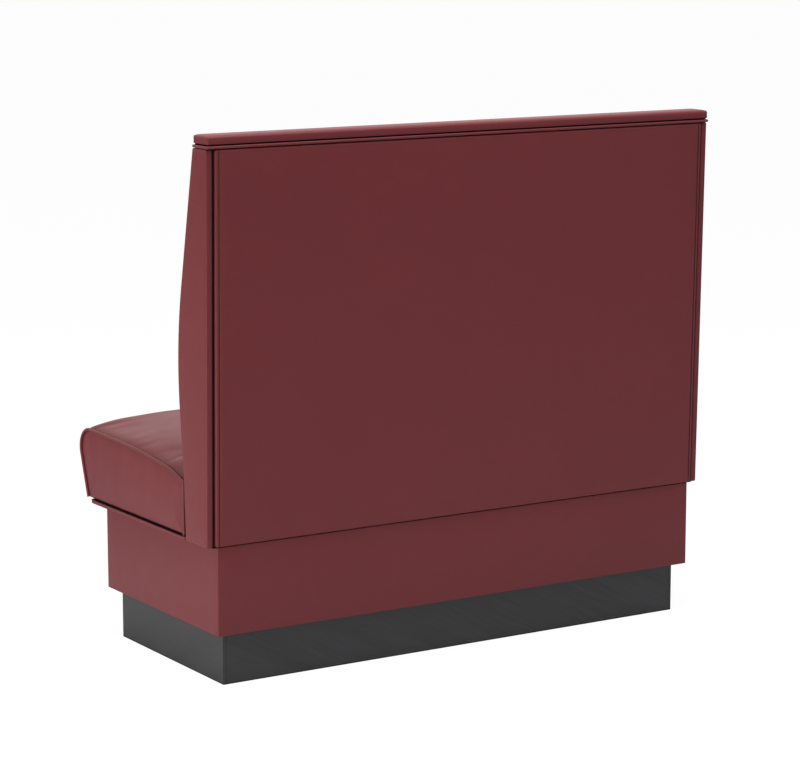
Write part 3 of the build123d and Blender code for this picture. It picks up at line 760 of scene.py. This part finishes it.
def crown_rise(x, half):
    """Share of the crown at a place along the bench, 0 at a welted end.

    A quarter comes with a quick roll, 1 - e ^ (-away / 0.014). The rest grows over the crown's
    run, 1 - (1 - away / run) ^ 2.2.
    """
    away = half - np.abs(x)
    run = min(bpy.context.scene.booth_sizes.crown_run, half)
    return 0.25 * (1 - np.exp(-away / 0.014)) + 0.75 * (1 - (1 - np.clip(away / run, 0, 1)) ** 2.2)


def stations(half, pitch):
    """Places along the bench, closer together towards both ends."""
    count = int(2 * half / pitch)
    t = np.linspace(-1, 1, count + 1)
    return half * (0.15 * t + 0.85 * np.sin(t * math.pi / 2))


def dome(points, spine, insets, shares, out, pillow):
    """Rows that run from an outline inwards to its spine, and how far each stands out.

    The first rows lie inside the outline by each inset, square to it. The others go on from the
    last of these to the spine by each share, and stand out by 1 - (1 - share) ^ 2.4 of the pillow.
    """
    normals = outward(points)
    near = [points - normals * inset for inset in insets]
    last = near[-1]
    far = [last + (spine - last) * part for part in shares]
    flat = np.stack(near + far)
    lift = list(out) + [out[-1] + pillow * (1 - (1 - part) ** 2.4) for part in shares]
    return flat, np.array(lift)


# Pieces


def box_rings(half, rear, front, corner, insets, heights):
    """Rows round the box: rounded rectangles in plan, each with its inset and height."""
    plan = nested(half, REAR - front, REAR - rear, insets, corner, 0.025)
    tall = np.broadcast_to(np.asarray(heights)[:, None], plan.shape[:2])
    return np.concatenate([plan, tall[..., None]], -1)


def arc(radius, count=4):
    """Insets and rises of a quarter round that starts upright and ends level."""
    turns = np.linspace(0, math.pi / 2, count + 1)
    return radius * (1 - np.cos(turns)), radius * np.sin(turns)


def riser_wrap(sizes):
    """The band of vinyl pulled round the box, turned under its boards and trimmed at the top."""
    inset, rise = arc(0.0011)
    skin = sizes.skin - 0.00005
    insets = [0.015, 0.0012, *inset[::-1], *inset, skin, skin, skin, 0.015]
    low, top = BOX_LOW - 0.0007, BOX_TOP
    heights = [low, low, *(low + 0.0011 - rise[::-1]), *(top - 0.0011 + rise), top]
    heights += [top - 0.001, BOX_LOW - 0.0001, BOX_LOW - 0.0001]
    rows = box_rings(BOX_HALF, 0, BOX_FRONT, 0.002, insets, heights)
    piece = surface("riser_wrap", rows, "booth_vinyl_flat", "root", True)
    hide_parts("riser_cover")


def wing_pad(sizes, end, side):
    """Padded vinyl over one end, pulled round its edges in a narrow rim."""
    points = back_outline(0.012)
    waist = np.clip(points[:, 1], BACK_LOW + 0.045, BACK_TOP - 0.02)
    front = front_edge(BACK_LOW, BACK_TOP, 0, 0)
    middle = (np.interp(waist, front[:, 1], front[:, 0]) + rear_line(waist)) / 2
    spine = np.stack([middle, waist], 1)
    inset, rise = arc(sizes.end_edge, 5)
    shares = np.array([0.12, 0.25, 0.4, 0.58, 0.78, 1])
    flat, lift = dome(points, spine, inset, shares, rise, sizes.end_pillow)
    base = HALF - sizes.end_edge - sizes.end_pillow * 0.6
    face = side_rows(flat, (base + lift)[:, None])
    normals = outward(points)
    start = HALF - sizes.rim
    rim = [(0.0022, -0.0056), (0.0022, -0.002), (0.0006, 0), (0, 0.0006), (0, 0.004)]
    rim_rows = [side_rows(points - normals * depth, start + out) for depth, out in rim]
    rows = np.concatenate([np.stack(rim_rows), face]) * (side, 1, 1)
    piece = surface("wing_pad_" + end, rows, "booth_vinyl", "root", sharp=0.9)
    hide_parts("wing_cover_" + end)


def outside_panel(sizes):
    """The flat outside panel: rounded edges, a fine crease up each side and a slack face."""
    low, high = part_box("outside_back_cover")
    half = high.x
    bottom, top = low.z, high.z
    edge = 0.0042
    inset, rise = arc(edge, 6)
    line = sizes.crease
    insets = [0.0, *inset, line, line + 0.0003, line + 0.0013, line + 0.0018, 0.014, 0.03]
    insets += [0.06, 0.12, 0.2, 0.3, (top - bottom) / 2 - 0.0001]
    slack = [-0.0002] * 4 + [0.0002] + [0.0004] * 6
    outs = [0.0, *(rise + sizes.proud - edge), *(sizes.proud + np.array(slack))]
    flat = nested(half - 0.0001, bottom, top, insets, 0.005)
    from_crease = np.abs(half - np.abs(flat[..., 0]) - line - CREASE_HALF)
    outs = np.array(outs)[:, None] - 0.0008 * (from_crease < 0.0006)
    outs[0] -= 0.0015
    rows = leaning(flat, outs)
    piece = surface("outside_panel", rows, "panel_vinyl", "root", sharp=1.2)
    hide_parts("outside_back_cover")


def cap_cushion(sizes):
    """The padded cap: crisp wrapped faces, a tight upper edge and a shallow crown."""
    low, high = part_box("cap_cover")
    half, rear, front = high.x, REAR - high.y, REAR - low.y
    middle, wide = (rear + front) / 2, (front - rear) / 2
    inset, rise = arc(0.0016, 4)
    face = sizes.cap_face
    insets = [0.02, 0.0012, 0.0004, 0.0, 0.0, *inset, 0.004, 0.008, 0.013, 0.019, wide - 0.0002]
    heights = [0.0, 0.0, 0.0004, 0.0012, face / 2, *(face - 0.0016 + rise)]
    heights += [face] * 5
    plan = nested(half, REAR - front, REAR - rear, insets, 0.003, 0.012)
    across = np.clip(1 - ((plan[..., 1] - (REAR - middle)) / wide) ** 6, 0, 1)
    along = np.clip(1 - (1 - (half - np.abs(plan[..., 0])) / sizes.cap_end), 0, 1) ** 0.5
    height = np.array(heights)[:, None]
    crown = sizes.cap_crown * np.minimum(across, along) * smooth((height - face) / 0.0016 + 1)
    rows = np.concatenate([plan, (low.z + height + crown)[..., None]], -1)
    piece = surface("cap_cushion", rows, "booth_vinyl", "root", caps=True, sharp=0.9)
    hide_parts("cap_cover", "cap_pad")


def back_cushion(sizes):
    """The inside back: a crowned front that draws in to its welts, over a plain rear."""
    low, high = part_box("back_cover")
    half = high.x
    bottom, top = low.z, high.z
    x = stations(half, 0.012)
    rise = crown_rise(x, half)[:, None, None]
    plain = front_edge(bottom, top, 0, 0)
    crowned = front_edge(bottom, top, 0, sizes.back_crown)
    rear_plain = front_edge(bottom, top, sizes.back_pad, 0)[::-1]
    rear_crowned = front_edge(bottom, top, sizes.back_pad, sizes.back_crown)[::-1]
    flat = np.concatenate([plain, rear_plain])[None]
    full = np.concatenate([crowned, rear_crowned])[None]
    section = flat + (full - flat) * rise
    away = (half - np.abs(x))[:, None]
    dip = ripple(section[..., 1], away, 0.022) * sizes.pucker - sizes.seam * np.exp(-away / 0.004)
    front = np.arange(section.shape[1]) < len(plain)
    section[..., 0] += np.where(front, dip, 0)
    rows = side_rows(section, x[:, None])
    piece = surface("back_cushion", rows, "back_vinyl", "root", caps=True, sharp=0.9)
    seam = half - 0.004

    def held(points):
        fore = REAR - points[:, 1]
        edge = np.abs(points[:, 0]) > seam
        ends = (points[:, 2] < bottom + 0.008) | (points[:, 2] > top - 0.008)
        line = np.interp(points[:, 2], rear_plain[::-1, 1], rear_plain[::-1, 0])
        return edge | ends | (fore < line + 0.001)

    swell(piece, held)
    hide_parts("back_cover", "back_foam")


def seat_cushion(sizes):
    """The seat: one cover over nose, crown and rear roll, hollow where its frame sits."""
    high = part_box("seat_cover")[1]
    half = high.x
    x = stations(half, 0.011)
    steps = outline_steps(*seat_corners(0, 0), 0.011, 0.2)
    flat, full = [rounded(*seat_corners(share, 0), steps) for share in (0, 1)]
    rise = crown_rise(x, half)[:, None, None]
    section = flat[None] + (full - flat)[None] * rise
    away = (half - np.abs(x))[:, None]
    round_it = np.cumsum(np.linalg.norm(np.diff(flat, axis=0, append=flat[:1]), axis=1))[None]
    free = smooth((section[..., 1] - SEAT_LOW) / 0.03)
    roll = 0.35 * np.exp(-away / 0.004) + 0.65 * np.exp(-away / 0.018)
    depth = ripple(round_it, away, 0.012) * sizes.pucker - sizes.seam * roll
    section = section + outward(flat)[None] * (depth * free)[..., None]
    notch = [RAIL_FRONT + sizes.gap, RAIL_FRONT + sizes.gap, RAIL_REAR - sizes.gap]
    notch = np.broadcast_to([*notch, notch[-1]], (len(x), 4))
    tall = WEB_TOP + sizes.gap - SEAT_LOW
    end = smooth((FRAME_HIGH.x + 0.002 - np.abs(x)) / 0.002)[:, None]
    inner = np.stack([notch, SEAT_LOW + 0.0004 + tall * end * np.array([0, 1, 1, 0])], -1)
    # the section starts at the rear foot and runs up, over and down to the front foot
    section = np.concatenate([section, inner], 1)
    rows = side_rows(section, x[:, None])
    piece = surface("seat_cushion", rows, "seat_vinyl", "seat", caps=True, sharp=0.9)
    seam = half - 0.004

    def held(points):
        fore = REAR - points[:, 1]
        inside = (fore > RAIL_REAR - 0.002) & (fore < RAIL_FRONT + 0.002)
        hollow = inside & (points[:, 2] < WEB_TOP + 0.002)
        return (np.abs(points[:, 0]) > seam) | hollow | (points[:, 2] < SEAT_LOW + 0.012)

    swell(piece, held)
    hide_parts("seat_cover", "seat_foam")


def seat_boxing(sizes, end, side):
    """The seat's end boxing: a thin padded face inside its welt, with soft upright folds."""
    inset = 2 * sizes.seat_welt - 0.0014
    points = seat_end_outline(inset, 0.0012, 0.008, 0.25, True)
    rear, front = points[:, 0].min(), points[:, 0].max()
    clamped = np.clip(points[:, 0], rear + 0.055, front - 0.07)
    upper = sorted(points.tolist())
    tops = np.array([p for p in upper if p[1] > SEAT_LOW + 0.05])
    middle = (SEAT_LOW + np.interp(clamped, tops[:, 0], tops[:, 1])) / 2
    spine = np.stack([clamped, middle], 1)
    insets = [0.0, 0.0003, 0.001, 0.0021, 0.0036]
    outs = [-0.0036, -0.0024, -0.0012, -0.0004, 0.0]
    shares = np.array([0.03, 0.07, 0.12, 0.18, 0.28, 0.4, 0.55, 0.72, 0.86, 1])
    flat, lift = dome(points, spine, insets, shares, outs, 0.0034)
    fore, height = flat[..., 0], flat[..., 1]
    slack = smooth((height - SEAT_LOW) / 0.05) * smooth(np.arange(len(flat))[:, None] / 4)
    folds = np.sin(fore * 61 + 1.2 * np.sin(height * 22) + 0.6) * 0.6
    folds += np.sin(fore * 113 + 2.1 * np.sin(height * 17 + 1)) * 0.3 + np.sin(fore * 29 - 1) * 0.4
    x = HALF - 2 * sizes.seat_welt + 0.0018 + lift[:, None] + folds * slack * 0.0004
    rows = side_rows(flat, x)
    back = side_rows(points, HALF - 2 * sizes.seat_welt + 0.0003)
    rows = np.concatenate([back[None], rows]) * (side, 1, 1)
    piece = surface("seat_boxing_pad_" + end, rows, "booth_vinyl", "seat", sharp=1.2)
    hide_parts("seat_boxing_" + end)


def welt_cords(sizes):
    """All the welts: over the seat's ends, up the inside back's seams and under the cap."""
    radius, thick = sizes.welt, sizes.seat_welt
    for end, side in ENDS:
        seat_path = seat_end_outline(thick, 0, 0.006, 0.12, False)
        rows = side_rows(seat_path, side * (HALF - thick))
        name = "seat_welt_cord_" + end
        piece = cord(name, rows, ALONG_BENCH, thick, "welt_vinyl", "seat", False)
        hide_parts("seat_welt_" + end)
        box_low, box_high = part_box("back_welt_" + end)
        inset = 0.0023 - radius - sizes.gap
        edge = front_edge(box_low.z, BACK_TOP - 0.0023, inset, 0, 0.008)
        rows = side_rows(edge, side * (HALF - sizes.rim - radius))
        name = "back_welt_cord_" + end
        piece = cord(name, rows, ALONG_BENCH, radius, "welt_vinyl", "root", False)
        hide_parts("back_welt_" + end)
    low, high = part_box("cap_welt")
    half, near, far = high.x - radius, high.y - radius, low.y + radius
    corners = [(half, near), (half, far), (-half, far), (-half, near)]
    plan = outline(corners, [0.004] * 4, 0.012, 0.15)
    rows = np.column_stack([plan, np.full(len(plan), (low.z + high.z) / 2)])
    piece = cord("cap_welt_cord", rows, (0, 0, 1), radius, "welt_vinyl", "root")
    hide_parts("cap_welt")


def groove_lining(sizes):
    """Black cloth behind the outside panel, which stands in for the shade in the groove round it.
    """
    low, high = BOX_TOP + 0.0001, BACK_TOP - 0.0022
    half = HALF - sizes.rim + 0.0004
    insets = [0.0, 0.0, 0.02, 0.02]
    outs = [-0.0016, -0.0009, -0.0009, -0.0016]
    rows = leaning(nested(half, low, high, insets, 0, 0.05), np.array(outs)[:, None])
    piece = surface("groove_lining", rows, "dust_cloth", "root", True)


def gap_shade_lining(sizes):
    """Black cloth round the seat's frame and on its board, which stands in for the shade in the
    shadow line.
    """
    low, high = FRAME_LOW.z - 0.0003, SEAT_LOW + 0.004
    insets = [0.009, -0.0014, -0.0014, -0.0002]
    heights = [low, low, high, high]
    rows = box_rings(FRAME_HIGH.x, RAIL_REAR, RAIL_FRONT, 0.0, insets, heights)
    piece = surface("seat_gap_lining", rows, "dust_cloth", "seat")
    top = BOARD_HIGH.z
    for end, side in ENDS:
        across = sorted([side * FRAME_HIGH.x, side * (BOARD_HIGH.x - 0.0022)])
        near = (across[0], BOARD_LOW.y + 0.0022, top + 0.0001)
        far = (across[1], BOARD_HIGH.y - 0.0022, top + 0.0006)
        piece = slab("seat_board_lining_" + end, near, far, "dust_cloth", "seat")


# Finishes of the CAD nodes that stay as they are


# each finish and the words in a node's name that call for it
NODE_FINISHES = (
    ("black_laminate", "toe_kick_face"),
    # the cap's spacer is painted black as the shade in the gap under the cap
    ("dust_cloth", "cap_spacer"),
    ("booth_vinyl_flat", "seat_base_board"),
    ("jute_webbing", "webbing"),
    ("zinc_steel", "bolt", "bracket"),
    ("hardboard", "back_board"),
    ("seat_foam", "foam", "cap_pad"),
    ("softwood_x", "toe_kick_rail", "bottom_rail", "seat_cleats"),
    ("softwood_y", "toe_kick_cross_rails"),
    ("softwood_z", "corner_blocks"),
    ("plywood_x", "left", "right", "dividers", "ribs", "seat_cross_rails"),
)


def node_finish(name):
    """The first finish with a word in the name, or else plywood by the way the board lies."""
    for finish_name, *words in NODE_FINISHES:
        if any(word in name for word in words):
            return finish_name
    low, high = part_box(name)
    return "plywood_z" if high.z - low.z < 0.03 else "plywood_y"


def finish_nodes():
    """Gives every CAD node its finish through its object's material slots."""
    for name, node in NODES.items():
        if not node.material_slots:
            node.data.materials.append(None)
        for slot in node.material_slots:
            slot.material = finish(node_finish(name))


# Studio


def studio_floor(colour):
    """A wide floor that shows pale to the camera and still takes the object's shadow."""
    mesh = bpy.data.meshes.new("studio_floor")
    reach = 60
    corners = [(-reach, -reach, 0), (reach, -reach, 0), (reach, reach, 0), (-reach, reach, 0)]
    mesh.from_pydata(corners, [], [(0, 1, 2, 3)])
    floor = bpy.data.objects.new("studio_floor", mesh)
    bpy.context.scene.collection.objects.link(floor)
    material = bpy.data.materials.new("studio_floor")
    material.use_nodes = True
    tree = material.node_tree
    tree.nodes.clear()
    matt, pale, rays, part, mix, out = [
        tree.nodes.new("ShaderNode" + kind)
        for kind in ("BsdfDiffuse", "Emission", "LightPath", "Math", "MixShader", "OutputMaterial")
    ]
    matt.inputs["Color"].default_value = (*colour, 1)
    pale.inputs["Strength"].default_value = 1.06
    part.operation = "MULTIPLY"
    part.inputs[1].default_value = 0.9
    tree.links.new(rays.outputs["Is Camera Ray"], part.inputs[0])
    for socket, source in zip(mix.inputs, (part, matt, pale)):
        tree.links.new(source.outputs[0], socket)
    tree.links.new(mix.outputs[0], out.inputs[0])
    mesh.materials.append(material)


def studio_world(ambient, tint):
    """White to the camera, a bright band over the horizon in reflections, and ambient elsewhere."""
    world = bpy.data.worlds.new("studio")
    bpy.context.scene.world = world
    world.use_nodes = True
    tree = world.node_tree
    ambient_light = tree.nodes["Background"]
    ambient_light.inputs["Color"].default_value = (*tint, 1)
    ambient_light.inputs["Strength"].default_value = ambient
    rays = tree.nodes.new("ShaderNodeLightPath")
    split = tree.nodes.new("ShaderNodeSeparateXYZ")
    tree.links.new(tree.nodes.new("ShaderNodeTexCoord").outputs["Generated"], split.inputs[0])
    band = tree.nodes.new("ShaderNodeValToRGB")
    band.color_ramp.interpolation = "EASE"
    stops = ((0, 0.05), (0.17, 1.25), (0.32, 1.25), (0.8, 0.6))
    band.color_ramp.elements.new(0.32)
    band.color_ramp.elements.new(0.8)
    for stop, (climb, brightness) in zip(band.color_ramp.elements, stops):
        stop.position = climb
        stop.color = (brightness, brightness, brightness, 1)
    tree.links.new(split.outputs["Z"], band.inputs[0])
    last = ambient_light
    for ray, brightness in (("Is Glossy Ray", band), ("Is Camera Ray", None)):
        backdrop = tree.nodes.new("ShaderNodeBackground")
        backdrop.inputs["Color"].default_value = (1, 1, 1, 1)
        if brightness:
            tree.links.new(brightness.outputs[0], backdrop.inputs["Color"])
        mix = tree.nodes.new("ShaderNodeMixShader")
        tree.links.new(rays.outputs[ray], mix.inputs[0])
        tree.links.new(last.outputs[0], mix.inputs[1])
        tree.links.new(backdrop.outputs[0], mix.inputs[2])
        last = mix
    tree.links.new(last.outputs[0], tree.nodes["World Output"].inputs[0])


def aimed(name, data, place, aim):
    """An object at a place that looks along a direction."""
    holder = bpy.data.objects.new(name, data)
    holder.location = place
    holder.rotation_mode = "QUATERNION"
    holder.rotation_quaternion = Vector(aim).to_track_quat("-Z", "Y")
    bpy.context.scene.collection.objects.link(holder)
    return holder


def lamp(name, place, target, size, power, tint):
    """A square area lamp that looks at a point."""
    light = bpy.data.lights.new(name, "AREA")
    light.shape = "SQUARE"
    light.size = size
    light.energy = power
    light.color = tint
    aimed(name, light, place, Vector(target) - Vector(place))


def photo_camera():
    """The camera at the photograph's place, found from the box's edges."""
    data = bpy.data.cameras.new("photo_camera")
    data.lens = 126.78
    data.sensor_width = 36
    yaw, pitch = 0.5641, 0.1764
    level = math.cos(pitch)
    aim = (-math.sin(yaw) * level, -math.cos(yaw) * level, -math.sin(pitch))
    bpy.context.scene.camera = aimed("photo_camera", data, (3.0466, 4.8389, 1.5033), aim)


# Operators


class BOOTH_OT_riser(bpy.types.Operator):
    """Wrap the box under the seat in vinyl"""

    bl_idname = "booth.riser"
    bl_label = "Box cover"

    def execute(self, context):
        riser_wrap(context.scene.booth_sizes)
        return {"FINISHED"}


class BOOTH_OT_wings(bpy.types.Operator):
    """Pad and cover the two shaped ends of the back"""

    bl_idname = "booth.wings"
    bl_label = "Padded ends"

    def execute(self, context):
        for end, side in ENDS:
            wing_pad(context.scene.booth_sizes, end, side)
        return {"FINISHED"}


class BOOTH_OT_outside_panel(bpy.types.Operator):
    """Make the outside back panel between the rims, and the black lining behind it that stands in
    for shade
    """

    bl_idname = "booth.outside_panel"
    bl_label = "Outside panel"

    def execute(self, context):
        outside_panel(context.scene.booth_sizes)
        groove_lining(context.scene.booth_sizes)
        return {"FINISHED"}


class BOOTH_OT_cap(bpy.types.Operator):
    """Make the padded cap along the top"""

    bl_idname = "booth.cap"
    bl_label = "Cap"

    def execute(self, context):
        cap_cushion(context.scene.booth_sizes)
        return {"FINISHED"}


class BOOTH_OT_back_cushion(bpy.types.Operator):
    """Make the crowned inside back"""

    bl_idname = "booth.back_cushion"
    bl_label = "Inside back"

    def execute(self, context):
        back_cushion(context.scene.booth_sizes)
        return {"FINISHED"}


class BOOTH_OT_seat(bpy.types.Operator):
    """Make the crowned seat, its end boxings and the black lining that stands in for the shade in
    its shadow line
    """

    bl_idname = "booth.seat"
    bl_label = "Seat"

    def execute(self, context):
        sizes = context.scene.booth_sizes
        seat_cushion(sizes)
        for end, side in ENDS:
            seat_boxing(sizes, end, side)
        gap_shade_lining(sizes)
        return {"FINISHED"}


class BOOTH_OT_welts(bpy.types.Operator):
    """Lay the welt cords along the seams"""

    bl_idname = "booth.welts"
    bl_label = "Welts"

    def execute(self, context):
        welt_cords(context.scene.booth_sizes)
        return {"FINISHED"}


class BOOTH_OT_finishes(bpy.types.Operator):
    """Give the boards, rails, straps and fittings their finishes"""

    bl_idname = "booth.finishes"
    bl_label = "Board finishes"

    def execute(self, context):
        finish_nodes()
        return {"FINISHED"}


class BOOTH_OT_stage(bpy.types.Operator):
    """Set up the floor, the light and the camera"""

    bl_idname = "booth.stage"
    bl_label = "Studio"

    def execute(self, context):
        context.scene.view_settings.view_transform = "Standard"
        studio_floor(context.scene.booth_colours.floor)
        cool, warm = (0.97, 0.98, 1), (1, 0.97, 0.92)
        studio_world(0.33, cool)
        lamp("side_lamp", (2.0, 0.3, 0.05), (0.5, 0.05, 0.3), 1.2, 22, warm)
        lamp("top_lamp", (0.4, 0.6, 4.2), (0, 0, 0.6), 3.2, 152, cool)
        photo_camera()
        return {"FINISHED"}


class BOOTH_PT_panel(bpy.types.Panel):
    """The booth's pieces in the sidebar"""

    bl_idname = "BOOTH_PT_panel"
    bl_label = "Booth"
    bl_space_type = "VIEW_3D"
    bl_region_type = "UI"
    bl_category = "Booth"

    def draw(self, context):
        for operator in OPERATORS:
            self.layout.operator(operator.bl_idname)


OPERATORS = (
    BOOTH_OT_riser,
    BOOTH_OT_wings,
    BOOTH_OT_outside_panel,
    BOOTH_OT_cap,
    BOOTH_OT_back_cushion,
    BOOTH_OT_seat,
    BOOTH_OT_welts,
    BOOTH_OT_finishes,
    BOOTH_OT_stage,
)
CLASSES = (BoothSizes, BoothColours, *OPERATORS, BOOTH_PT_panel)


def register():
    """Registers the classes and hangs the two groups of values on the scene."""
    for item in CLASSES:
        bpy.utils.register_class(item)
    bpy.types.Scene.booth_sizes = bpy.props.PointerProperty(type=BoothSizes)
    bpy.types.Scene.booth_colours = bpy.props.PointerProperty(type=BoothColours)


def unregister():
    """Takes everything back that register added."""
    del bpy.types.Scene.booth_colours
    del bpy.types.Scene.booth_sizes
    for item in reversed(CLASSES):
        bpy.utils.unregister_class(item)


def main():
    """Builds the booth piece by piece."""
    register()
    for operator in OPERATORS:
        group, name = operator.bl_idname.split(".")
        getattr(getattr(bpy.ops, group), name)()


if __name__ == "__main__":
    main()
